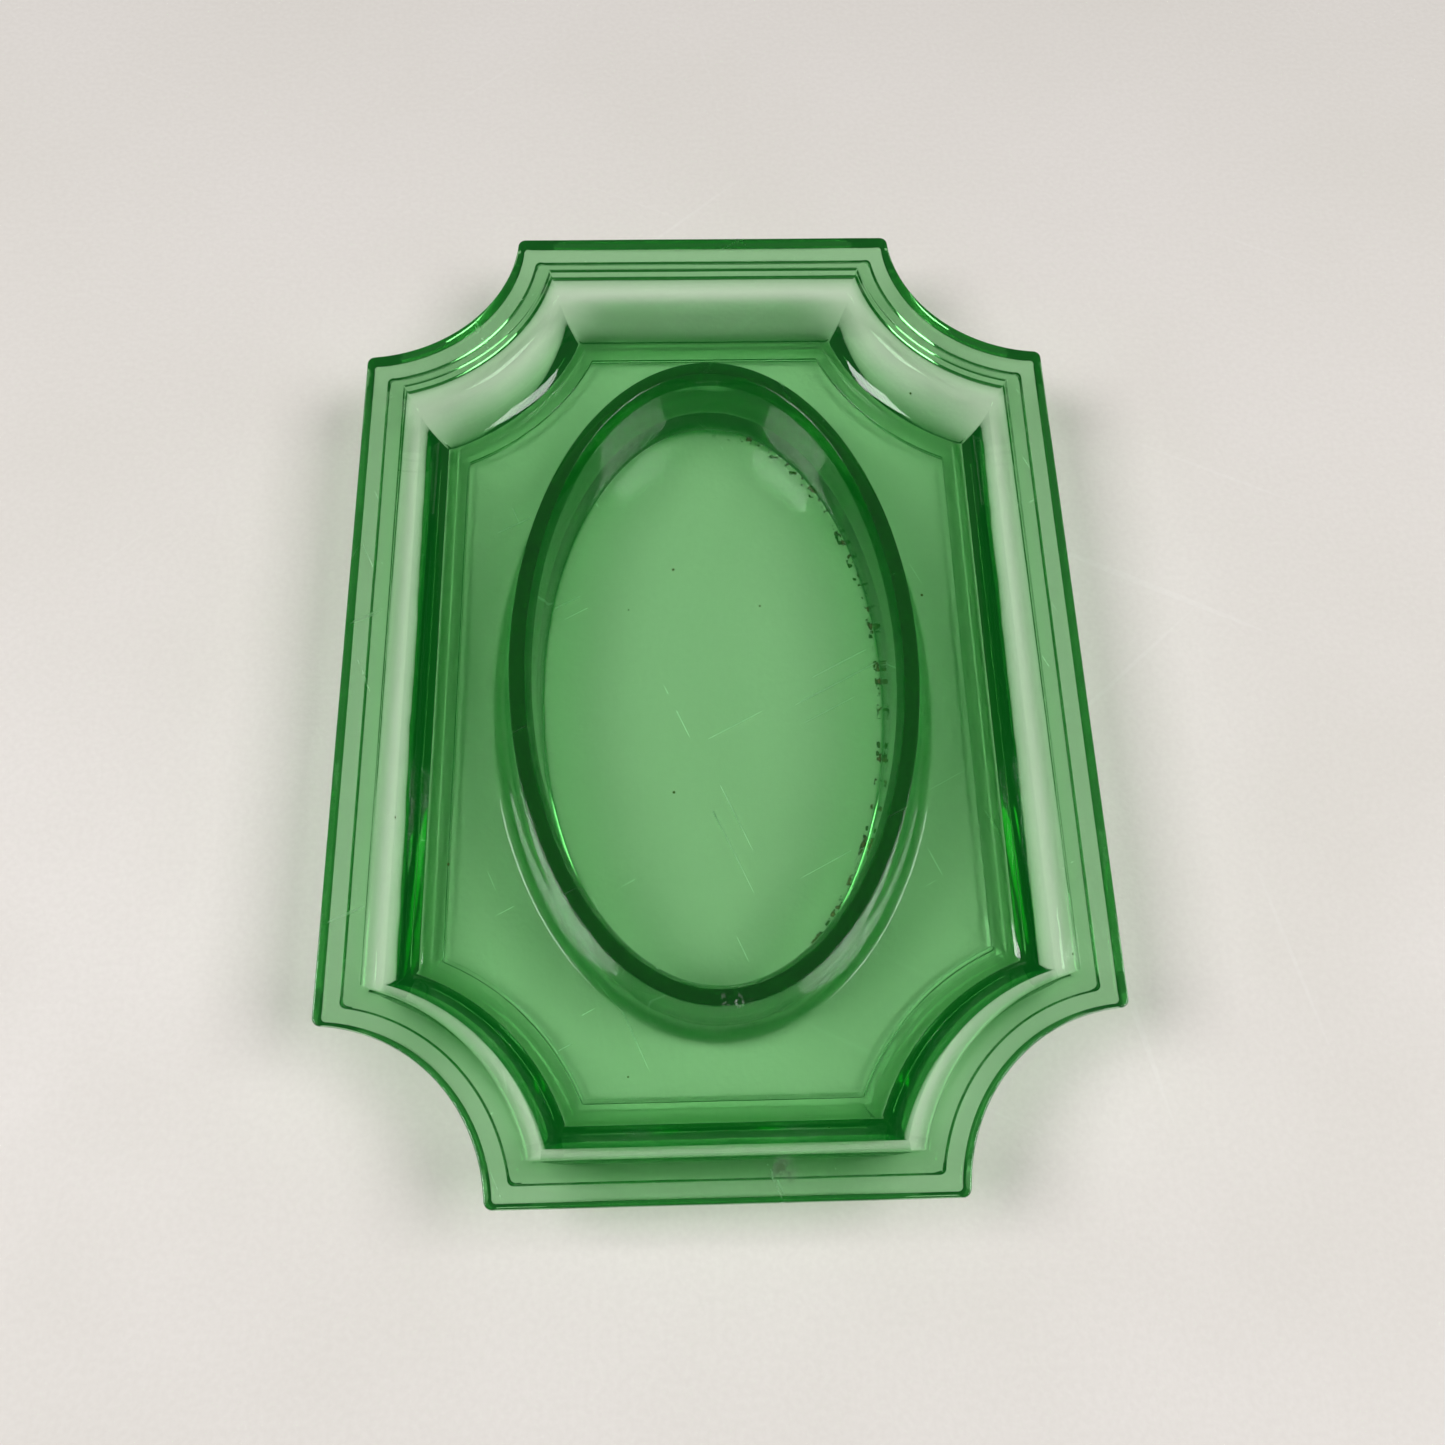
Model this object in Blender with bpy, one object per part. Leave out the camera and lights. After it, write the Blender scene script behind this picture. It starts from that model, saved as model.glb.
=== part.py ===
"""Pressed uranium glass dish: a shallow notched tray with an oval ring standing on its floor.

The dish is one piece of glass, pressed in a mould. Its walls follow a rectangle whose four
corners are cut away by concave arcs, and every moulding on it is that outline stepped inward
with mitred corners. The origin is the centre of the resting face, +Z up, +Y along the dish.
Units are metres.
"""

import math

import bmesh
import bpy
from mathutils import Vector

MM = 0.001

# Overall size
LENGTH = 250.0 * MM
WIDTH = 177.5 * MM
HEIGHT = 26.5 * MM

# Corner notches: concave arcs centred just outside the corners of the plain rectangle
NOTCH_RADIUS = 39.7 * MM
NOTCH_OVERSHOOT = 1.35 * MM
NOTCH_STEPS = 12

# Rounding of the eight upright corners: rim, then mitres above and corners below it
CORNER_RADIUS = 2.0 * MM
MITRE_RADIUS = 0.3 * MM
UNDER_CORNER_RADIUS = 1.5 * MM
CORNER_STEPS = 3

# Rim flange, all depths measured down from the top of the rim
FLANGE_WIDTH = 9.65 * MM
FLANGE_DIP = 0.75 * MM
RIM_EDGE_ROUND = 0.5 * MM
FLANGE_THICKNESS = 5.6 * MM
EDGE_DRAFT = 0.9 * MM
EDGE_UNDER_ROUND = 1.2 * MM
FLANGE_UNDER_WIDTH = 4.75 * MM

# Cove: the curved inner wall, steep under the flange and easing towards the floor
COVE_RUN = 9.75 * MM
COVE_FALL = 18.75 * MM
COVE_TOP_SLOPE = math.radians(77.0)
COVE_FOOT_SLOPE = math.radians(22.0)
COVE_STEPS = 8

# Ledge, step and sloping border between the cove and the flat floor
LEDGE_WIDTH = 1.5 * MM
LEDGE_FALL = 0.4 * MM
STEP_WIDTH = 0.5 * MM
STEP_FALL = 0.85 * MM
BORDER_WIDTH = 2.7 * MM
FLOOR_DEPTH = 22.0 * MM

# Underside: small lip under the flange, outside cove, steep wall, flat foot rim, shallow recess
LIP_WIDTH = 0.2 * MM
LIP_FALL = 1.4 * MM
UNDER_COVE_INSET = 5.0 * MM
UNDER_COVE_RADIUS = 7.2 * MM
WALL_SLOPE = math.radians(72.0)
UNDER_COVE_STEPS = 6
FOOT_ROUND = 0.8 * MM
FOOT_END = 22.5 * MM
RECESS_DEPTH = 0.3 * MM

# Oval ring: half axes of the outer edge of its flat crest, then distances out or in from them
RING_HALF_WIDTH = 49.2 * MM
RING_HALF_LENGTH = 84.4 * MM
RING_CREST_DEPTH = 0.5 * MM
RING_CREST_WIDTH = 3.6 * MM
RING_WALL_DEPTH = 9.0 * MM
RING_WALL_SPREAD = 1.6 * MM
RING_FOOT_SPREAD = 7.4 * MM
RING_FOOT_SLOPE = math.radians(18.0)
RING_END_SHARE = 0.65
RING_BEVEL_WIDTH = 1.5 * MM
RING_BEVEL_FALL = 2.9 * MM
WELL_WALL_DEPTH = 14.0 * MM
WELL_WALL_SPREAD = 0.4 * MM
WELL_FOOT_SPREAD = 1.5 * MM
WELL_DEPTH = 22.4 * MM
RING_ROOT_DEPTH = 24.4 * MM
RING_SKIRT_SINK = 0.3 * MM
WELL_CUTTER_RISE = 0.5
RING_SEGMENTS = 72
FILLET_STEPS = 4

SMOOTH_ANGLE = math.radians(30.0)

DISH_COLOUR = (0.09, 0.47, 0.12, 1.0)
DISH_ROUGHNESS = 0.04
GLASS_IOR = 1.52


def clear_scene():
    """Removes every object, so that the dish is the only thing in the file."""
    for leftover in list(bpy.data.objects):
        bpy.data.objects.remove(leftover, do_unlink=True)


def new_collection(name):
    collection = bpy.data.collections.new(name)
    bpy.context.scene.collection.children.link(collection)
    return collection


def glass_material():
    """Clear green glass, smooth enough to mirror."""
    material = bpy.data.materials.new("uranium_glass")
    material.use_nodes = True
    shader = material.node_tree.nodes["Principled BSDF"]
    shader.inputs["Base Color"].default_value = DISH_COLOUR
    shader.inputs["Roughness"].default_value = DISH_ROUGHNESS
    shader.inputs["Metallic"].default_value = 0.0
    shader.inputs["IOR"].default_value = GLASS_IOR
    shader.inputs["Transmission Weight"].default_value = 1.0
    return material


def curve_points(start, pull, end, steps):
    """Points of the quadratic curve from start to end, bent towards pull, without its start."""
    points = []
    for index in range(1, steps + 1):
        share = index / steps
        rest = 1.0 - share
        points.append(rest * rest * start + 2.0 * rest * share * pull + share * share * end)
    return points


def tangent_crossing(start, start_slope, end, end_slope):
    """Where the line falling from start at one slope meets the line falling to end at another."""
    across = end.x - start.x
    fall = start.y - end.y
    along = (fall - across * math.tan(end_slope)) / (math.tan(start_slope) - math.tan(end_slope))
    return start + Vector((along, -along * math.tan(start_slope)))


def fillet_arc(centre, radius, start, end):
    """Points of a rounded corner from one bearing to another, both ends included."""
    points = []
    for index in range(CORNER_STEPS + 1):
        bearing = start + (end - start) * index / CORNER_STEPS
        points.append(centre + radius * Vector((math.cos(bearing), math.sin(bearing))))
    return points


def bearing_of(direction):
    return math.atan2(direction.y, direction.x)


def notched_corner(inset, rounding):
    """The +X +Y corner of the outline, from the long side round its concave arc to the end."""
    notch = Vector((WIDTH / 2 + NOTCH_OVERSHOOT, LENGTH / 2 + NOTCH_OVERSHOOT))
    radius = NOTCH_RADIUS + inset
    reach = radius + rounding
    clear = NOTCH_OVERSHOOT + inset + rounding
    along = math.sqrt(reach * reach - clear * clear)
    side_fillet = notch - Vector((clear, along))
    end_fillet = notch - Vector((along, clear))
    side_end = bearing_of(notch - side_fillet)
    end_start = bearing_of(notch - end_fillet)
    points = fillet_arc(side_fillet, rounding, 0.0, side_end)
    for index in range(1, NOTCH_STEPS):
        bearing = side_end + (end_start - side_end) * index / NOTCH_STEPS
        points.append(notch - radius * Vector((math.cos(bearing), math.sin(bearing))))
    return points + fillet_arc(end_fillet, rounding, end_start, math.pi / 2)


def notched_outline(inset, height, sharpest):
    """The rim's plan outline stepped inward: four straight sides joined by four concave arcs.

    Stepping inward moves the sides in, widens the arcs about their own centres and tightens
    the corners down to the sharpest radius, so every corner keeps its mitre. The points run
    anticlockwise.
    """
    corner = notched_corner(inset, max(CORNER_RADIUS - inset, sharpest))
    points = []
    for side_x, side_y in ((1, 1), (-1, 1), (-1, -1), (1, -1)):
        mirrored = [Vector((side_x * point.x, side_y * point.y, height)) for point in corner]
        points += mirrored if side_x == side_y else mirrored[::-1]
    return points


def ellipse(half_width, half_length, height):
    """An oval of the ring's section, anticlockwise."""
    points = []
    for index in range(RING_SEGMENTS):
        turn = 2 * math.pi * index / RING_SEGMENTS
        points.append(Vector((half_width * math.cos(turn), half_length * math.sin(turn), height)))
    return points


def stacked_solid(name, outlines, collection):
    """A closed body lofted through a stack of outlines whose points all run in the same order.

    The first and the last outline are filled, and each pair between them is joined by quads.
    """
    bm = bmesh.new()
    loops = [[bm.verts.new(point) for point in outline] for outline in outlines]
    for here, there in zip(loops, loops[1:]):
        for index, vert in enumerate(here):
            before = index - 1
            bm.faces.new((here[before], there[before], there[index], vert))
    bm.faces.new(loops[0])
    bm.faces.new(reversed(loops[-1]))
    bmesh.ops.recalc_face_normals(bm, faces=bm.faces)
    mesh = bpy.data.meshes.new(name)
    bm.to_mesh(mesh)
    bm.free()
    mesh.shade_smooth()
    mesh.set_sharp_from_angle(angle=SMOOTH_ANGLE)
    made = bpy.data.objects.new(name, mesh)
    collection.objects.link(made)
    return made


def top_profile():
    """Upper surface from the rim's edge to the floor, as (distance in from the edge, height)."""
    edge = Vector((0.0, HEIGHT - RIM_EDGE_ROUND))
    crown = Vector((RIM_EDGE_ROUND, HEIGHT))
    lip = Vector((FLANGE_WIDTH, HEIGHT - FLANGE_DIP))
    cove_foot = lip + Vector((COVE_RUN, -COVE_FALL))
    pull = tangent_crossing(lip, COVE_TOP_SLOPE, cove_foot, COVE_FOOT_SLOPE)
    ledge = cove_foot + Vector((LEDGE_WIDTH, -LEDGE_FALL))
    step = ledge + Vector((STEP_WIDTH, -STEP_FALL))
    border = Vector((step.x + BORDER_WIDTH, HEIGHT - FLOOR_DEPTH))
    return [edge, crown, lip] + curve_points(lip, pull, cove_foot, COVE_STEPS) + [ledge, step, border]


def under_cove(top):
    """The outside cove, from level under the flange to the slope of the wall, starting at a height."""
    centre = Vector((UNDER_COVE_INSET, top - UNDER_COVE_RADIUS))
    points = []
    for index in range(UNDER_COVE_STEPS + 1):
        turn = WALL_SLOPE * index / UNDER_COVE_STEPS
        points.append(centre + UNDER_COVE_RADIUS * Vector((math.sin(turn), math.cos(turn))))
    return points


def under_profile():
    """Underside from below the rim's edge to the recess, as (distance in from the edge, height)."""
    under = HEIGHT - FLANGE_THICKNESS
    drafted = Vector((EDGE_DRAFT, under + EDGE_UNDER_ROUND))
    corner = Vector((EDGE_DRAFT, under))
    rounded = corner + Vector((EDGE_UNDER_ROUND, 0.0))
    lip = Vector((FLANGE_UNDER_WIDTH, under))
    step = lip + Vector((LIP_WIDTH, -LIP_FALL))
    cove = under_cove(step.y)
    wall = Vector((math.cos(WALL_SLOPE), -math.sin(WALL_SLOPE)))
    foot_corner = cove[-1] + wall * cove[-1].y / math.sin(WALL_SLOPE)
    wall_foot = foot_corner - wall * FOOT_ROUND
    foot_edge = foot_corner + Vector((FOOT_ROUND, 0.0))
    foot_inner = Vector((FOOT_END, 0.0))
    recess = foot_inner + Vector((RECESS_DEPTH, RECESS_DEPTH))
    return (
        [drafted]
        + curve_points(drafted, corner, rounded, FILLET_STEPS)
        + [lip, step]
        + cove
        + [wall_foot]
        + curve_points(wall_foot, foot_corner, foot_edge, FILLET_STEPS)
        + [foot_inner, recess]
    )


def make_tray(collection):
    """The notched tray: floor, cove, rim flange and underside, without the ring."""
    outlines = [notched_outline(point.x, point.y, MITRE_RADIUS) for point in reversed(top_profile())]
    outlines += [notched_outline(point.x, point.y, UNDER_CORNER_RADIUS) for point in under_profile()]
    return stacked_solid("dish", outlines, collection)


def mound_profile():
    """Outer side of the ring from its root to its crest, as (distance out, height).

    The root and the skirt above it lie inside the floor, so that the two bodies overlap.
    """
    root = Vector((RING_FOOT_SPREAD, HEIGHT - RING_ROOT_DEPTH))
    skirt = Vector((RING_FOOT_SPREAD, HEIGHT - FLOOR_DEPTH - RING_SKIRT_SINK))
    outer_foot = Vector((RING_WALL_SPREAD, HEIGHT - RING_WALL_DEPTH))
    outer_edge = Vector((0.0, HEIGHT - RING_CREST_DEPTH))
    wall_slope = math.atan2(outer_edge.y - outer_foot.y, outer_foot.x - outer_edge.x)
    outer_pull = tangent_crossing(outer_foot, wall_slope, skirt, RING_FOOT_SLOPE)
    return [root, skirt] + curve_points(skirt, outer_pull, outer_foot, FILLET_STEPS) + [outer_edge]


def well_profile():
    """Inner side of the ring from above its crest to the well floor, as (distance out, height)."""
    inner_edge = Vector((-RING_CREST_WIDTH, HEIGHT - RING_CREST_DEPTH))
    bevel = inner_edge - Vector((RING_BEVEL_WIDTH, RING_BEVEL_FALL))
    above = inner_edge + (inner_edge - bevel) * WELL_CUTTER_RISE
    well_wall = Vector((bevel.x - WELL_WALL_SPREAD, HEIGHT - WELL_WALL_DEPTH))
    well_foot = Vector((bevel.x - WELL_FOOT_SPREAD, HEIGHT - WELL_DEPTH))
    well_pull = Vector((well_wall.x, well_foot.y))
    return [above, bevel, well_wall] + curve_points(well_wall, well_pull, well_foot, FILLET_STEPS)


def ring_oval(point):
    """The oval at one point of the ring's section; the outer side is steeper at the ends."""
    lengthwise = point.x * RING_END_SHARE if point.x > 0.0 else point.x
    return ellipse(RING_HALF_WIDTH + point.x, RING_HALF_LENGTH + lengthwise, point.y)


def oval_solid(name, profile, collection):
    """A stack of ovals that follow the ring's crest at the distances and heights of a profile."""
    return stacked_solid(name, [ring_oval(point) for point in profile], collection)


def combine(target, other, operation):
    """Adds the other solid to the target, or cuts it out, and leaves the other as a helper."""
    boolean = target.modifiers.new(other.name, "BOOLEAN")
    boolean.operation = operation
    boolean.solver = "EXACT"
    boolean.object = other
    other.hide_render = True
    other.display_type = "WIRE"


def main():
    clear_scene()
    parts = new_collection("uranium_glass_dish")
    helpers = new_collection("helper_solids")
    dish = make_tray(parts)
    combine(dish, oval_solid("ring_mound", mound_profile(), helpers), "UNION")
    combine(dish, oval_solid("ring_well", well_profile(), helpers), "DIFFERENCE")
    dish.data.materials.append(glass_material())


main()
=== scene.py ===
import math

import bmesh
import bpy
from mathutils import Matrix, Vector, noise


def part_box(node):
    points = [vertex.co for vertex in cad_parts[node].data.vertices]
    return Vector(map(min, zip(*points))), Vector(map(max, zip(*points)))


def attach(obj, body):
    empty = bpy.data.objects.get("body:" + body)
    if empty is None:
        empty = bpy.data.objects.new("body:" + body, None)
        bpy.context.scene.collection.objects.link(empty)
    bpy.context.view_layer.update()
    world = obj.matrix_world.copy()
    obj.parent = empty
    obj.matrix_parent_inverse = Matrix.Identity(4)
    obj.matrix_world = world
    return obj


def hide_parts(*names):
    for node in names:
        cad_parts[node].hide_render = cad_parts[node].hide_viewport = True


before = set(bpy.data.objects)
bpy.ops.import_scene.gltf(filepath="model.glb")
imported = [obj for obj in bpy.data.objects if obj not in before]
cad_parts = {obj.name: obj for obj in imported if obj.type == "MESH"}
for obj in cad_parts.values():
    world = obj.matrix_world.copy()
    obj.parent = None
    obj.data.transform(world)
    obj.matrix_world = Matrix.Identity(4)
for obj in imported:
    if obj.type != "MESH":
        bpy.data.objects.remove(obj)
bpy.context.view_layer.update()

MM = 0.001

# Overall size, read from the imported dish
LOW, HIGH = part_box("dish")
WIDTH = HIGH.x - LOW.x
LENGTH = HIGH.y - LOW.y
HEIGHT = HIGH.z

# Corner notches: concave arcs centred just outside the corners of the plain rectangle,
# with the number of steps round a notch and its fillets, and along each end and side
NOTCH_RADIUS = 39.7 * MM
NOTCH_OVERSHOOT = 1.35 * MM
NOTCH_STEPS = 36
CORNER_STEPS = 6
END_RUNS = 48
SIDE_RUNS = 84

# Rounding of the upright corners: rim, then mitres above and corners below it
CORNER_RADIUS = 2.0 * MM
MITRE_RADIUS = 0.3 * MM
UNDER_CORNER_RADIUS = 1.5 * MM

# Rim flange, all depths measured down from the top of the rim
FLANGE_WIDTH = 9.65 * MM
FLANGE_DIP = 0.75 * MM
RIM_EDGE_ROUND = 0.5 * MM
FLANGE_THICKNESS = 5.6 * MM
EDGE_DRAFT = 0.9 * MM
EDGE_UNDER_ROUND = 1.2 * MM
FLANGE_UNDER_WIDTH = 4.75 * MM
RIM_EDGE_STEPS = 4
UNDER_EDGE_STEPS = 6

# Cove between the flange and the floor
COVE_RUN = 9.75 * MM
COVE_FALL = 18.75 * MM
COVE_TOP_SLOPE = math.radians(77.0)
COVE_FOOT_SLOPE = math.radians(22.0)
COVE_STEPS = 24
COVE_EDGE_ROUND = 0.25 * MM

# Ledge, step and sloping border between the cove and the flat floor, with the rounding of each
# corner from the foot of the cove inwards
LEDGE_WIDTH = 1.7 * MM
LEDGE_FALL = 0.4 * MM
STEP_WIDTH = 0.3 * MM
STEP_FALL = 0.85 * MM
BORDER_WIDTH = 2.7 * MM
BORDER_DROP_WIDTH = 0.2 * MM
BORDER_DROP = 0.4 * MM
BORDER_ROUNDS = (0.1 * MM, 0.15 * MM, 0.1 * MM, 0.12 * MM, 0.12 * MM)
FLOOR_DEPTH = 22.0 * MM
FLOOR_LEAD = 1.0 * MM

# Underside: small lip under the flange, outside cove, steep wall, flat foot rim, shallow recess
LIP_WIDTH = 0.2 * MM
LIP_FALL = 1.4 * MM
LIP_ROUNDS = (0.25 * MM, 0.2 * MM)
UNDER_COVE_INSET = 5.0 * MM
UNDER_COVE_RADIUS = 7.2 * MM
WALL_SLOPE = math.radians(72.0)
UNDER_COVE_STEPS = 16
FOOT_ROUNDS = (0.8 * MM, 0.2 * MM, 0.2 * MM)
FOOT_END = 22.5 * MM
RECESS_DEPTH = 0.3 * MM
RECESS_LEAD = 1.0 * MM

# Oval ring: half axes of the outer edge of its crest, then distances out or in from them
RING_HALF_WIDTH = 49.2 * MM
RING_HALF_LENGTH = 84.4 * MM
RING_CREST_DEPTH = 0.5 * MM
RING_CREST_WIDTH = 3.6 * MM
RING_WALL_DEPTH = 9.0 * MM
RING_WALL_SPREAD = 1.6 * MM
RING_FOOT_SPREAD = 7.4 * MM
RING_FOOT_SLOPE = math.radians(18.0)
RING_END_SHARE = 0.65
RING_BEVEL_WIDTH = 1.5 * MM
RING_BEVEL_FALL = 2.9 * MM
WELL_WALL_DEPTH = 14.0 * MM
WELL_WALL_SPREAD = 0.4 * MM
WELL_FOOT_SPREAD = 1.5 * MM
WELL_DEPTH = 22.4 * MM
CREST_ROUNDS = (0.4 * MM, 0.3 * MM, 0.3 * MM)
RING_SEGMENTS = 512

# Steps round a small rounding, and down the curve at the foot of the ring
ROUND_STEPS = 4
FILLET_STEPS = 10

# Unevenness of the pressed surface; the foot below UNEVEN_ABOVE stays flat, and normals are
# averaged over the faces by NORMAL_WEIGHT
WAVE_LENGTH = 26.0 * MM
WAVE_HEIGHT = 0.05 * MM
RIPPLE_LENGTH = 6.0 * MM
RIPPLE_HEIGHT = 0.008 * MM
RIPPLE_SHIFT = Vector((7.0, 3.0, 5.0))
UNEVEN_ABOVE = 2 * WAVE_HEIGHT
NORMAL_WEIGHT = 50

# Chips, as place (x, y, z), reach and depth in millimetres, and how ragged they are
CHIPS = (
    (3.5, -84.6, 26.0, 1.5, 0.35),
    (6.6, -84.3, 26.0, 1.1, 0.30),
    (0.4, -84.7, 26.0, 1.1, 0.25),
    (10.5, -83.7, 26.0, 1.0, 0.25),
)
CHIP_GRAIN = 0.7 * MM
CHIP_JAG = 0.4

# Glass: absorption per millimetre in red, green and blue, and a painted green glow on its surface, lit
# by no lamp, that lightens the dark bands of thick glass
GLASS_IOR = 1.52
ABSORPTION = (0.165, 0.074, 0.160)
CLEAR = (1.0, 1.0, 1.0, 1.0)
GRIME = (0.085, 0.050, 0.018, 1.0)
PAINTED_GLOW = (0.04, 1.0, 0.13, 1.0)
PAINTED_GLOW_STRENGTH = 0.028

# Wear of the glass: each cloud as its scale per metre and detail, each range as the low and the
# high end that "between" stretches to 0 and 1. Scratches show on level faces, worn edges on high ones.
HAZE_CLOUD = (45.0, 1.0)
HAZE_RANGE = (0.35, 0.75)
HAZE_ROUGHNESS = (0.01, 0.05)
LEVEL_RANGE = (0.9, 0.98)
GLASS_SCRATCHES = {"turns": (24, 118), "density": 900.0, "length": 40.0, "cut": 0.81}
SCRATCH_ROUGHNESS = 0.25
GRIT_CLOUD = (900.0, 2.0)
WORN_RANGE = (0.54, 0.68)
WORN_HEIGHTS = (HEIGHT - 1.2 * MM, HEIGHT - 0.7 * MM)
WORN_ROUGHNESS = 0.16
GLASS_SPECKS = {"scale": 90.0, "radius": 0.034, "kept": 0.20}
DIRT_ROUGHNESS = 0.7
DIRT_COLOUR_RANGE = (0.0, 0.15)
CHIPPED_RANGE = (0.05, 0.5)
CHIPPED_GRIT_RANGE = (0.5, 0.6)
CHIPPED_ROUGHNESS = 0.5
CHIPPED_CLOUDING = 0.3
GLASS_BUMP_CLOUD = (140.0, 0.0)
GLASS_BUMP = 0.04 * MM

# Brown dirt at the foot of the well wall
GRIME_BAND = (0.03, 0.0)
GRIME_HEIGHTS = (HEIGHT - WELL_DEPTH + 1.6 * MM, HEIGHT - WELL_DEPTH + 0.6 * MM)
GRIME_SIDE = (0.0, 30.0 * MM)
GRIME_CLOUD = (420.0, 2.0)
GRIME_PATCHES = (0.56, 0.68)
GRIME_SHARE = 0.75

# Brownish smear on the near flange
SMEAR_PLACE = (11.5 * MM, -118.5 * MM, HEIGHT)
SMEAR_REACH = 3.6 * MM
SMEAR_CORE = 0.3
SMEAR_CLOUD = (480.0, 2.0)
SMEAR_PATCHES = (0.42, 0.62)
SMEAR_SHARE = 0.12

# Softness of a scratch's edge, and of a speck's edge as a share of its radius
SCRATCH_EDGE = 0.03
SPECK_CORE = 0.6

# Table board
TABLE_REACH = 2.0
TABLE_HEIGHT = -0.1 * MM
TABLE_PALE = (0.79, 0.75, 0.715, 1.0)
TABLE_STAIN = (0.745, 0.71, 0.665, 1.0)
TABLE_DARK = (0.52, 0.48, 0.44, 1.0)
TABLE_SCRATCH = (0.95, 0.94, 0.92, 1.0)
TABLE_SPECK = (0.10, 0.07, 0.05, 1.0)
STAIN_CLOUD = (9.0, 3.0)
STAIN_RANGE = (0.35, 0.7)
GRAIN_CLOUD = (700.0, 1.0)
GRAIN_RANGE = (0.3, 0.7)
GRAIN_SHARE = 0.10
TABLE_SCRATCHES = {"turns": (12, 64, 131), "density": 260.0, "length": 40.0, "cut": 0.82}
TABLE_SCRATCH_SHARE = 0.10
TABLE_SPECKS = {"scale": 34.0, "radius": 0.03, "kept": 0.10}
TABLE_SPECK_SHARE = 0.8
TABLE_ROUGHNESS = (0.55, 0.7)
TABLE_BUMP = 0.1 * MM
TABLE_BUMP_STRENGTH = 0.35

# Two soft lamps, as bearing in degrees and size; both at one elevation, distance and power
LAMPS = {
    "key_left": (-176, (0.63, 0.63)),
    "key_right": (-10, (0.77, 0.63)),
}
LAMP_ELEVATION = math.radians(52)
LAMP_DISTANCE = 1.4
LAMP_POWER = 11.6
ROOM_COLOUR = (1.0, 0.98, 0.95, 1)
ROOM_STRENGTH = 0.12

# Camera above the near end, tilted about 22 degrees from straight down towards the middle
CAMERA_SENSOR = 36.0
CAMERA_LENS = 33.63
CAMERA_PLACE = (-0.007685, -0.13608, 0.3212)
CAMERA_TURN = (0.38099374, -0.02048446, -0.02659946)

# Most bounces of light: in all and through glass, off glossy surfaces, off matt ones
CLEAR_BOUNCES = 18
GLOSSY_BOUNCES = 10
DIFFUSE_BOUNCES = 3

# Sockets of a colour mix node, by index: its names repeat for every kind of value
MIX_SHARE = 0
MIX_FIRST = 6
MIX_SECOND = 7
MIX_RESULT = 2


def curve_points(start, pull, end, steps):
    """Points of the quadratic curve from start to end, bent towards pull, without its start."""
    points = []
    for index in range(1, steps + 1):
        share = index / steps
        rest = 1.0 - share
        points.append(rest * rest * start + 2.0 * rest * share * pull + share * share * end)
    return points


def tangent_crossing(start, start_slope, end, end_slope):
    """Where the downward tangents at two points of a section meet."""
    across = end.x - start.x
    fall = start.y - end.y
    along = (fall - across * math.tan(end_slope)) / (math.tan(start_slope) - math.tan(end_slope))
    return start + Vector((along, -along * math.tan(start_slope)))


def softened(points, rounds):
    """The polyline with each corner cut back by its own distance and rounded."""
    soft = [points[0]]
    for before, corner, after, reach in zip(points, points[1:], points[2:], rounds):
        start = corner + (before - corner).normalized() * reach
        end = corner + (after - corner).normalized() * reach
        soft.append(start)
        soft += curve_points(start, corner, end, ROUND_STEPS)
    soft.append(points[-1])
    return soft


def fillet_arc(centre, radius, start, end):
    """Points of an arc between two bearings, both ends included."""
    points = []
    for index in range(CORNER_STEPS + 1):
        bearing = start + (end - start) * index / CORNER_STEPS
        points.append(centre + radius * Vector((math.cos(bearing), math.sin(bearing))))
    return points


def bearing_of(direction):
    """Angle of a level direction from the X axis."""
    return math.atan2(direction.y, direction.x)


def notched_corner(inset, rounding):
    """The corner in the positive quarter: a fillet, the concave notch and a second fillet."""
    notch = Vector((WIDTH / 2 + NOTCH_OVERSHOOT, LENGTH / 2 + NOTCH_OVERSHOOT))
    radius = NOTCH_RADIUS + inset
    reach = radius + rounding
    clear = NOTCH_OVERSHOOT + inset + rounding
    along = math.sqrt(reach * reach - clear * clear)
    side_fillet = notch - Vector((clear, along))
    end_fillet = notch - Vector((along, clear))
    side_end = bearing_of(notch - side_fillet)
    end_start = bearing_of(notch - end_fillet)
    points = fillet_arc(side_fillet, rounding, 0.0, side_end)
    for index in range(1, NOTCH_STEPS):
        bearing = side_end + (end_start - side_end) * index / NOTCH_STEPS
        points.append(notch - radius * Vector((math.cos(bearing), math.sin(bearing))))
    return points + fillet_arc(end_fillet, rounding, end_start, math.pi / 2)


def notched_outline(inset, height, sharpest):
    """The whole outline at one inset and height, its corners never sharper than a radius."""
    corner = notched_corner(inset, max(CORNER_RADIUS - inset, sharpest))
    corners = []
    for side_x, side_y in ((1, 1), (-1, 1), (-1, -1), (1, -1)):
        mirrored = [Vector((side_x * point.x, side_y * point.y, height)) for point in corner]
        corners.append(mirrored if side_x == side_y else mirrored[::-1])
    points = []
    for index, side in enumerate(corners):
        runs = END_RUNS if index % 2 == 0 else SIDE_RUNS
        start = side[-1]
        end = corners[(index + 1) % 4][0]
        points += side + [start.lerp(end, step / runs) for step in range(1, runs)]
    return points


def ellipse(half_width, half_length, height):
    """Points of a level ellipse."""
    points = []
    for index in range(RING_SEGMENTS):
        turn = 2 * math.pi * index / RING_SEGMENTS
        points.append(Vector((half_width * math.cos(turn), half_length * math.sin(turn), height)))
    return points


def ring_oval(point):
    """The oval at one point of the ring's section; the outer side is steeper at the ends."""
    lengthwise = point.x * RING_END_SHARE if point.x > 0.0 else point.x
    return ellipse(RING_HALF_WIDTH + point.x, RING_HALF_LENGTH + lengthwise, point.y)


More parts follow.
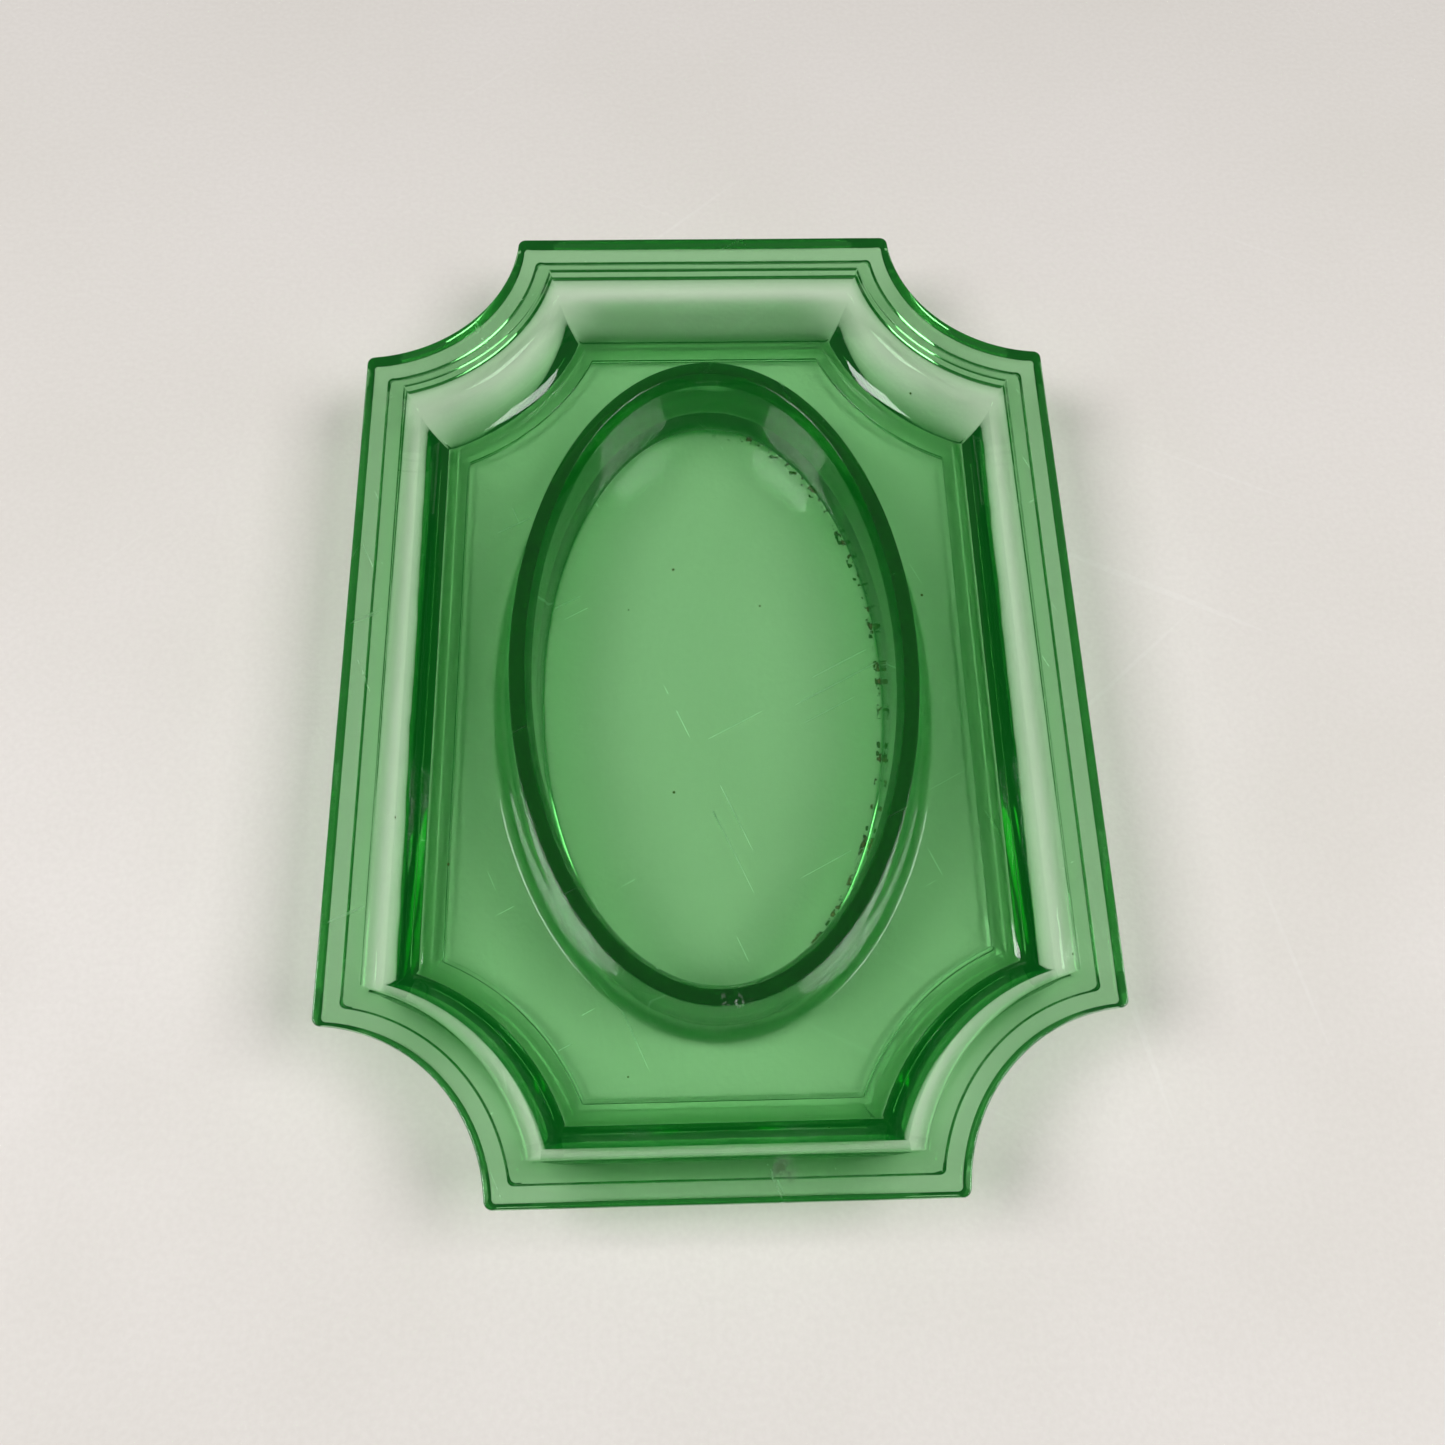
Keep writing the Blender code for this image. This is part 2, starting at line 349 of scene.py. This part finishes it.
def top_profile():
    """Upper section from the rim's edge to the floor, as (inset, height)."""
    edge = Vector((0.0, HEIGHT - RIM_EDGE_ROUND))
    crown = Vector((RIM_EDGE_ROUND, HEIGHT))
    lip = Vector((FLANGE_WIDTH, HEIGHT - FLANGE_DIP))
    cove_foot = lip + Vector((COVE_RUN, -COVE_FALL))
    pull = tangent_crossing(lip, COVE_TOP_SLOPE, cove_foot, COVE_FOOT_SLOPE)
    ledge = cove_foot + Vector((LEDGE_WIDTH, -LEDGE_FALL))
    step = ledge + Vector((STEP_WIDTH, -STEP_FALL))
    border = Vector((step.x + BORDER_WIDTH, HEIGHT - FLOOR_DEPTH))
    border_edge = border + Vector((-BORDER_DROP_WIDTH, BORDER_DROP))
    floor_start = border + Vector((FLOOR_LEAD, 0.0))
    cove = curve_points(lip, pull, cove_foot, COVE_STEPS)
    mouldings = [cove[-2], cove_foot, ledge, step, border_edge, border, floor_start]
    return (
        [edge]
        + curve_points(edge, Vector((0.0, HEIGHT)), crown, RIM_EDGE_STEPS)
        + softened([crown, lip, cove[0]], [COVE_EDGE_ROUND])[1:]
        + cove[1:-1]
        + softened(mouldings, BORDER_ROUNDS)[1:]
    )


def under_cove(top):
    """The outside cove, from level at its top to the slope of the wall."""
    centre = Vector((UNDER_COVE_INSET, top - UNDER_COVE_RADIUS))
    points = []
    for index in range(UNDER_COVE_STEPS + 1):
        turn = WALL_SLOPE * index / UNDER_COVE_STEPS
        points.append(centre + UNDER_COVE_RADIUS * Vector((math.sin(turn), math.cos(turn))))
    return points


def under_profile():
    """Lower section from the rim's edge to the recess under the foot, as (inset, height)."""
    under = HEIGHT - FLANGE_THICKNESS
    drafted = Vector((EDGE_DRAFT, under + EDGE_UNDER_ROUND))
    corner = Vector((EDGE_DRAFT, under))
    rounded = corner + Vector((EDGE_UNDER_ROUND, 0.0))
    lip = Vector((FLANGE_UNDER_WIDTH, under))
    step = lip + Vector((LIP_WIDTH, -LIP_FALL))
    cove = under_cove(step.y)
    wall = Vector((math.cos(WALL_SLOPE), -math.sin(WALL_SLOPE)))
    foot_corner = cove[-1] + wall * cove[-1].y / math.sin(WALL_SLOPE)
    foot_inner = Vector((FOOT_END, 0.0))
    recess = foot_inner + Vector((RECESS_DEPTH, RECESS_DEPTH))
    base = recess + Vector((RECESS_LEAD, 0.0))
    return (
        [drafted]
        + curve_points(drafted, corner, rounded, UNDER_EDGE_STEPS)
        + softened([rounded, lip, step, cove[0]], LIP_ROUNDS)[1:-1]
        + cove[:-1]
        + softened([cove[-1], foot_corner, foot_inner, recess, base], FOOT_ROUNDS)
    )


def ring_profile():
    """Ring section from the well over the crest to the outer floor, as (distance out, height)."""
    crest = HEIGHT - RING_CREST_DEPTH
    floor = HEIGHT - FLOOR_DEPTH
    skirt = Vector((RING_FOOT_SPREAD, floor))
    outer_foot = Vector((RING_WALL_SPREAD, HEIGHT - RING_WALL_DEPTH))
    outer_edge = Vector((0.0, crest))
    wall_slope = math.atan2(outer_edge.y - outer_foot.y, outer_foot.x - outer_edge.x)
    outer_pull = tangent_crossing(outer_foot, wall_slope, skirt, RING_FOOT_SLOPE)
    inner_edge = outer_edge - Vector((RING_CREST_WIDTH, 0.0))
    bevel = inner_edge - Vector((RING_BEVEL_WIDTH, RING_BEVEL_FALL))
    well_wall = Vector((bevel.x - WELL_WALL_SPREAD, HEIGHT - WELL_WALL_DEPTH))
    well_foot = Vector((bevel.x - WELL_FOOT_SPREAD, HEIGHT - WELL_DEPTH))
    well_pull = Vector((well_wall.x, well_foot.y))
    inside = curve_points(well_foot, well_pull, well_wall, FILLET_STEPS)
    outside = curve_points(outer_foot, outer_pull, skirt, FILLET_STEPS)
    over = softened([inside[-1], bevel, inner_edge, outer_edge, outer_foot], CREST_ROUNDS)
    return [well_foot] + inside[:-1] + over[:-1] + [outer_foot] + outside


def join_loops(bm, loops):
    """Faces between each loop of vertices and the next."""
    for here, there in zip(loops, loops[1:]):
        for index, vert in enumerate(here):
            before = index - 1
            bm.faces.new((here[before], here[index], there[index], there[before]))


def undulation(place):
    """The gentle unevenness of pressed glass: slow waves with a finer ripple on top."""
    slow = noise.noise(place / WAVE_LENGTH)
    fine = noise.noise(place / RIPPLE_LENGTH + RIPPLE_SHIFT)
    return WAVE_HEIGHT * slow + RIPPLE_HEIGHT * fine


def age(mesh):
    """Moves the surface by its unevenness, and nicks the crest where it is chipped.

    The share of chipping at each vertex is kept in the attribute "chipped" for the material.
    """
    chipped = mesh.attributes.new("chipped", "FLOAT", "POINT")
    normals = [vert.normal.copy() for vert in mesh.vertices]
    for vert, normal in zip(mesh.vertices, normals):
        place = vert.co.copy()
        if place.z > UNEVEN_ABOVE:
            vert.co += normal * undulation(place)
        for chip_x, chip_y, chip_z, reach, bite in CHIPS:
            away = (place - Vector((chip_x, chip_y, chip_z)) * MM).length / (reach * MM)
            if away < 1.0:
                jag = 1.0 - CHIP_JAG + CHIP_JAG * noise.noise(place / CHIP_GRAIN)
                depth = jag * (1.0 - away * away)
                vert.co -= normal * bite * MM * depth
                chipped.data[vert.index].value = max(chipped.data[vert.index].value, depth)


def closed_edges(bm, loop):
    """The edges round one closed loop of vertices."""
    return [bm.edges.get((loop[index - 1], loop[index])) for index in range(len(loop))]


def make_glass():
    """The whole dish: ring, tray and the flat floor between them."""
    bm = bmesh.new()
    ring = [[bm.verts.new(point) for point in ring_oval(p)] for p in ring_profile()]
    join_loops(bm, ring)
    bm.faces.new(ring[0])
    tray = [notched_outline(p.x, p.y, MITRE_RADIUS) for p in reversed(top_profile())]
    tray += [notched_outline(p.x, p.y, UNDER_CORNER_RADIUS) for p in under_profile()]
    tray = [[bm.verts.new(point) for point in outline] for outline in tray]
    join_loops(bm, tray)
    bm.faces.new(tray[-1])
    edges = closed_edges(bm, ring[-1]) + closed_edges(bm, tray[0])
    bmesh.ops.triangle_fill(bm, edges=edges, use_beauty=True)
    bmesh.ops.recalc_face_normals(bm, faces=bm.faces)
    mesh = bpy.data.meshes.new("dish_glass")
    bm.to_mesh(mesh)
    bm.free()
    age(mesh)
    mesh.shade_smooth()
    piece = bpy.data.objects.new("dish_glass", mesh)
    bpy.context.scene.collection.objects.link(piece)
    weighted = piece.modifiers.new("weighted", "WEIGHTED_NORMAL")
    weighted.weight = NORMAL_WEIGHT
    weighted.keep_sharp = True
    return piece


def wire(tree, target, value):
    """Sets an input to a plain value, or links it to a socket."""
    if isinstance(value, bpy.types.NodeSocket):
        tree.links.new(value, target)
    else:
        target.default_value = value


def sums(tree, operation, *values):
    """The result of one mathematical operation on numbers or sockets."""
    node = tree.nodes.new("ShaderNodeMath")
    node.operation = operation
    for target, value in zip(node.inputs, values):
        wire(tree, target, value)
    return node.outputs[0]


def place_of(tree):
    """Object coordinates, in metres."""
    return tree.nodes.new("ShaderNodeTexCoord").outputs["Object"]


def stretched(tree, turn, across, along):
    """Object coordinates turned about Z, then scaled differently across and along."""
    mapping = tree.nodes.new("ShaderNodeMapping")
    mapping.vector_type = "TEXTURE"
    mapping.inputs["Rotation"].default_value = (0.0, 0.0, math.radians(turn))
    mapping.inputs["Scale"].default_value = (1.0 / across, 1.0 / along, 1.0 / across)
    tree.links.new(place_of(tree), mapping.inputs["Vector"])
    return mapping.outputs[0]


def cloud(tree, scale, detail, where=None):
    """Noise from 0 to 1 around a half."""
    node = tree.nodes.new("ShaderNodeTexNoise")
    node.inputs["Scale"].default_value = scale
    node.inputs["Detail"].default_value = detail
    tree.links.new(where or place_of(tree), node.inputs["Vector"])
    return node.outputs["Fac"]


def between(tree, value, low, high, to_low=0.0, to_high=1.0):
    """Maps a value from one range to another, clamped."""
    node = tree.nodes.new("ShaderNodeMapRange")
    for target, amount in zip(node.inputs, (value, low, high, to_low, to_high)):
        wire(tree, target, amount)
    return node.outputs[0]


def scratches(tree, turns, density, length, cut):
    """Thin streaks in a few directions, 1 on a streak."""
    total = 0.0
    for turn in turns:
        streaks = cloud(tree, 1.0, 0.0, stretched(tree, turn, density, density / length))
        streak = between(tree, streaks, cut, cut + SCRATCH_EDGE)
        total = sums(tree, "MAXIMUM", total, streak)
    return total


def specks(tree, scale, radius, kept):
    """Small round spots, kept in only a share of the cells."""
    cells = tree.nodes.new("ShaderNodeTexVoronoi")
    cells.inputs["Scale"].default_value = scale
    tree.links.new(place_of(tree), cells.inputs["Vector"])
    spot = between(tree, cells.outputs["Distance"], radius, radius * SPECK_CORE)
    tint = tree.nodes.new("ShaderNodeSeparateColor")
    tree.links.new(cells.outputs["Color"], tint.inputs[0])
    return sums(tree, "MULTIPLY", spot, sums(tree, "LESS_THAN", tint.outputs[0], kept))


def mixed(tree, share, first, second):
    """A colour between two others, by a share."""
    node = tree.nodes.new("ShaderNodeMix")
    node.data_type = "RGBA"
    wire(tree, node.inputs[MIX_SHARE], share)
    wire(tree, node.inputs[MIX_FIRST], first)
    wire(tree, node.inputs[MIX_SECOND], second)
    return node.outputs[MIX_RESULT]


def bump(tree, height, distance, strength=1.0):
    """A surface normal tilted by a height from 0 to 1."""
    node = tree.nodes.new("ShaderNodeBump")
    node.inputs["Strength"].default_value = strength
    node.inputs["Distance"].default_value = distance
    wire(tree, node.inputs["Height"], height)
    return node.outputs[0]


def well_grime(tree):
    """Brown dirt left along the foot of the ring's inner wall, on its right-hand side."""
    axes = tree.nodes.new("ShaderNodeSeparateXYZ")
    tree.links.new(place_of(tree), axes.inputs[0])
    half_width = RING_HALF_WIDTH - RING_CREST_WIDTH - RING_BEVEL_WIDTH - WELL_FOOT_SPREAD
    half_length = half_width + RING_HALF_LENGTH - RING_HALF_WIDTH
    across = sums(tree, "POWER", sums(tree, "DIVIDE", axes.outputs[0], half_width), 2.0)
    along = sums(tree, "POWER", sums(tree, "DIVIDE", axes.outputs[1], half_length), 2.0)
    off = sums(tree, "ABSOLUTE", sums(tree, "SUBTRACT", sums(tree, "ADD", across, along), 1.0))
    band = between(tree, off, *GRIME_BAND)
    low = between(tree, axes.outputs[2], *GRIME_HEIGHTS)
    side = between(tree, axes.outputs[0], *GRIME_SIDE)
    patchy = between(tree, cloud(tree, *GRIME_CLOUD), *GRIME_PATCHES)
    foot = sums(tree, "MULTIPLY", band, low)
    dirt = sums(tree, "MULTIPLY", foot, sums(tree, "MULTIPLY", side, patchy))
    return sums(tree, "MULTIPLY", dirt, GRIME_SHARE)


def smear(tree):
    """A brownish smear on the flange at the near end."""
    away = tree.nodes.new("ShaderNodeVectorMath")
    away.operation = "DISTANCE"
    tree.links.new(place_of(tree), away.inputs[0])
    away.inputs[1].default_value = SMEAR_PLACE
    near = between(tree, away.outputs["Value"], SMEAR_REACH, SMEAR_REACH * SMEAR_CORE)
    patchy = between(tree, cloud(tree, *SMEAR_CLOUD), *SMEAR_PATCHES)
    return sums(tree, "MULTIPLY", near, patchy)


def chipping(tree, grit):
    """Broken glass where the surface is chipped, speckled by the grit."""
    nicks = tree.nodes.new("ShaderNodeAttribute")
    nicks.attribute_name = "chipped"
    share = between(tree, nicks.outputs["Fac"], *CHIPPED_RANGE)
    return sums(tree, "MULTIPLY", share, between(tree, grit, *CHIPPED_GRIT_RANGE))


def glass_dirt(tree):
    """Specks over the whole dish, with the grime in the well and the smear on the flange."""
    dirt = sums(tree, "MAXIMUM", specks(tree, **GLASS_SPECKS), well_grime(tree))
    return sums(tree, "MAXIMUM", dirt, sums(tree, "MULTIPLY", smear(tree), SMEAR_SHARE))


def glass_material():
    """Clear green glass that absorbs by depth: hazy, scratched, worn at its high edges, dirty, with a
    painted green glow that lightens it where it is thick.
    """
    material = bpy.data.materials.new("uranium_glass")
    material.use_nodes = True
    tree = material.node_tree
    shader = tree.nodes["Principled BSDF"]
    facing = tree.nodes.new("ShaderNodeSeparateXYZ")
    normal = tree.nodes.new("ShaderNodeNewGeometry").outputs["Normal"]
    tree.links.new(normal, facing.inputs[0])
    level = between(tree, facing.outputs[2], *LEVEL_RANGE)
    axes = tree.nodes.new("ShaderNodeSeparateXYZ")
    tree.links.new(place_of(tree), axes.inputs[0])
    high = between(tree, axes.outputs[2], *WORN_HEIGHTS)

    haze = between(tree, cloud(tree, *HAZE_CLOUD), *HAZE_RANGE, *HAZE_ROUGHNESS)
    lines = sums(tree, "MULTIPLY", scratches(tree, **GLASS_SCRATCHES), level)
    grit = cloud(tree, *GRIT_CLOUD)
    worn = sums(tree, "MULTIPLY", between(tree, grit, *WORN_RANGE), high)
    dirt = glass_dirt(tree)
    broken = chipping(tree, grit)
    rough = sums(tree, "ADD", haze, sums(tree, "MULTIPLY", lines, SCRATCH_ROUGHNESS))
    rough = sums(tree, "ADD", rough, sums(tree, "MULTIPLY", worn, WORN_ROUGHNESS))
    rough = sums(tree, "MAXIMUM", rough, sums(tree, "MULTIPLY", dirt, DIRT_ROUGHNESS))
    rough = sums(tree, "MAXIMUM", rough, sums(tree, "MULTIPLY", broken, CHIPPED_ROUGHNESS))
    solid = sums(tree, "MAXIMUM", dirt, sums(tree, "MULTIPLY", broken, CHIPPED_CLOUDING))
    tint = mixed(tree, between(tree, dirt, *DIRT_COLOUR_RANGE), CLEAR, GRIME)
    wire(tree, shader.inputs["Roughness"], rough)
    wire(tree, shader.inputs["Base Color"], tint)
    wire(tree, shader.inputs["Transmission Weight"], sums(tree, "SUBTRACT", 1.0, solid))
    wire(tree, shader.inputs["IOR"], GLASS_IOR)
    # Painted glow: faint green emission, lit by no lamp, that lightens the dark bands of thick glass
    wire(tree, shader.inputs["Emission Color"], PAINTED_GLOW)
    wire(tree, shader.inputs["Emission Strength"], PAINTED_GLOW_STRENGTH)
    wire(tree, shader.inputs["Normal"], bump(tree, cloud(tree, *GLASS_BUMP_CLOUD), GLASS_BUMP))

    volume = tree.nodes.new("ShaderNodeVolumeAbsorption")
    top = max(ABSORPTION)
    # density * (1 - colour) is the absorption coefficient per metre
    volume.inputs["Color"].default_value = (*[1 - a / top for a in ABSORPTION], 1)
    volume.inputs["Density"].default_value = top / MM
    tree.links.new(volume.outputs[0], tree.nodes["Material Output"].inputs["Volume"])
    return material


def table_material():
    """Pale painted board: soft stains, a fine grain, light scratches and a few specks."""
    material = bpy.data.materials.new("table")
    material.use_nodes = True
    tree = material.node_tree
    shader = tree.nodes["Principled BSDF"]
    stain = between(tree, cloud(tree, *STAIN_CLOUD), *STAIN_RANGE)
    grain = between(tree, cloud(tree, *GRAIN_CLOUD), *GRAIN_RANGE)
    lines = scratches(tree, **TABLE_SCRATCHES)
    spots = specks(tree, **TABLE_SPECKS)
    colour = mixed(tree, stain, TABLE_PALE, TABLE_STAIN)
    colour = mixed(tree, sums(tree, "MULTIPLY", grain, GRAIN_SHARE), colour, TABLE_DARK)
    colour = mixed(tree, sums(tree, "MULTIPLY", lines, TABLE_SCRATCH_SHARE), colour, TABLE_SCRATCH)
    colour = mixed(tree, sums(tree, "MULTIPLY", spots, TABLE_SPECK_SHARE), colour, TABLE_SPECK)
    wire(tree, shader.inputs["Base Color"], colour)
    wire(tree, shader.inputs["Roughness"], between(tree, stain, 0.0, 1.0, *TABLE_ROUGHNESS))
    wire(tree, shader.inputs["Normal"], bump(tree, grain, TABLE_BUMP, TABLE_BUMP_STRENGTH))
    return material


def make_floor():
    """The table board, just under the foot of the dish."""
    mesh = bpy.data.meshes.new("table")
    corners = [
        (side_x * TABLE_REACH, side_y * TABLE_REACH, TABLE_HEIGHT)
        for side_x, side_y in ((-1, -1), (1, -1), (1, 1), (-1, 1))
    ]
    mesh.from_pydata(corners, [], [(0, 1, 2, 3)])
    floor = bpy.data.objects.new("table", mesh)
    bpy.context.scene.collection.objects.link(floor)
    mesh.materials.append(table_material())


def add_lamp(name, bearing, size):
    """A soft lamp at a bearing, facing the middle of the dish."""
    lamp = bpy.data.lights.new(name, "AREA")
    lamp.shape = "RECTANGLE"
    lamp.size, lamp.size_y = size
    lamp.energy = LAMP_POWER
    level = LAMP_DISTANCE * math.cos(LAMP_ELEVATION)
    turn = math.radians(bearing)
    height = LAMP_DISTANCE * math.sin(LAMP_ELEVATION)
    place = Vector((level * math.cos(turn), level * math.sin(turn), height))
    holder = bpy.data.objects.new(name, lamp)
    holder.location = place
    holder.rotation_euler = (-place).to_track_quat("-Z", "Y").to_euler()
    bpy.context.scene.collection.objects.link(holder)


def add_world():
    """A dim, slightly warm room."""
    world = bpy.data.worlds.new("room")
    bpy.context.scene.world = world
    world.use_nodes = True
    background = world.node_tree.nodes["Background"]
    background.inputs["Color"].default_value = ROOM_COLOUR
    background.inputs["Strength"].default_value = ROOM_STRENGTH


def add_camera():
    """The camera, looking down on the dish."""
    data = bpy.data.cameras.new("camera")
    data.sensor_width = CAMERA_SENSOR
    data.lens = CAMERA_LENS
    camera = bpy.data.objects.new("camera", data)
    camera.location = CAMERA_PLACE
    camera.rotation_euler = CAMERA_TURN
    bpy.context.scene.collection.objects.link(camera)
    bpy.context.scene.camera = camera


def set_light_paths():
    """Enough bounces for light to cross the glass, with its caustics kept sharp."""
    cycles = bpy.context.scene.cycles
    cycles.max_bounces = CLEAR_BOUNCES
    cycles.transmission_bounces = CLEAR_BOUNCES
    cycles.glossy_bounces = GLOSSY_BOUNCES
    cycles.diffuse_bounces = DIFFUSE_BOUNCES
    cycles.caustics_reflective = True
    cycles.caustics_refractive = True
    cycles.blur_glossy = 0.0
    bpy.context.scene.view_settings.view_transform = "Standard"


def main():
    """The dish, its table, lamps, room and camera."""
    dish = make_glass()
    dish.data.materials.append(glass_material())
    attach(dish, "root")
    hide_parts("dish")
    make_floor()
    for name, (bearing, size) in LAMPS.items():
        add_lamp(name, bearing, size)
    add_world()
    add_camera()
    set_light_paths()


main()
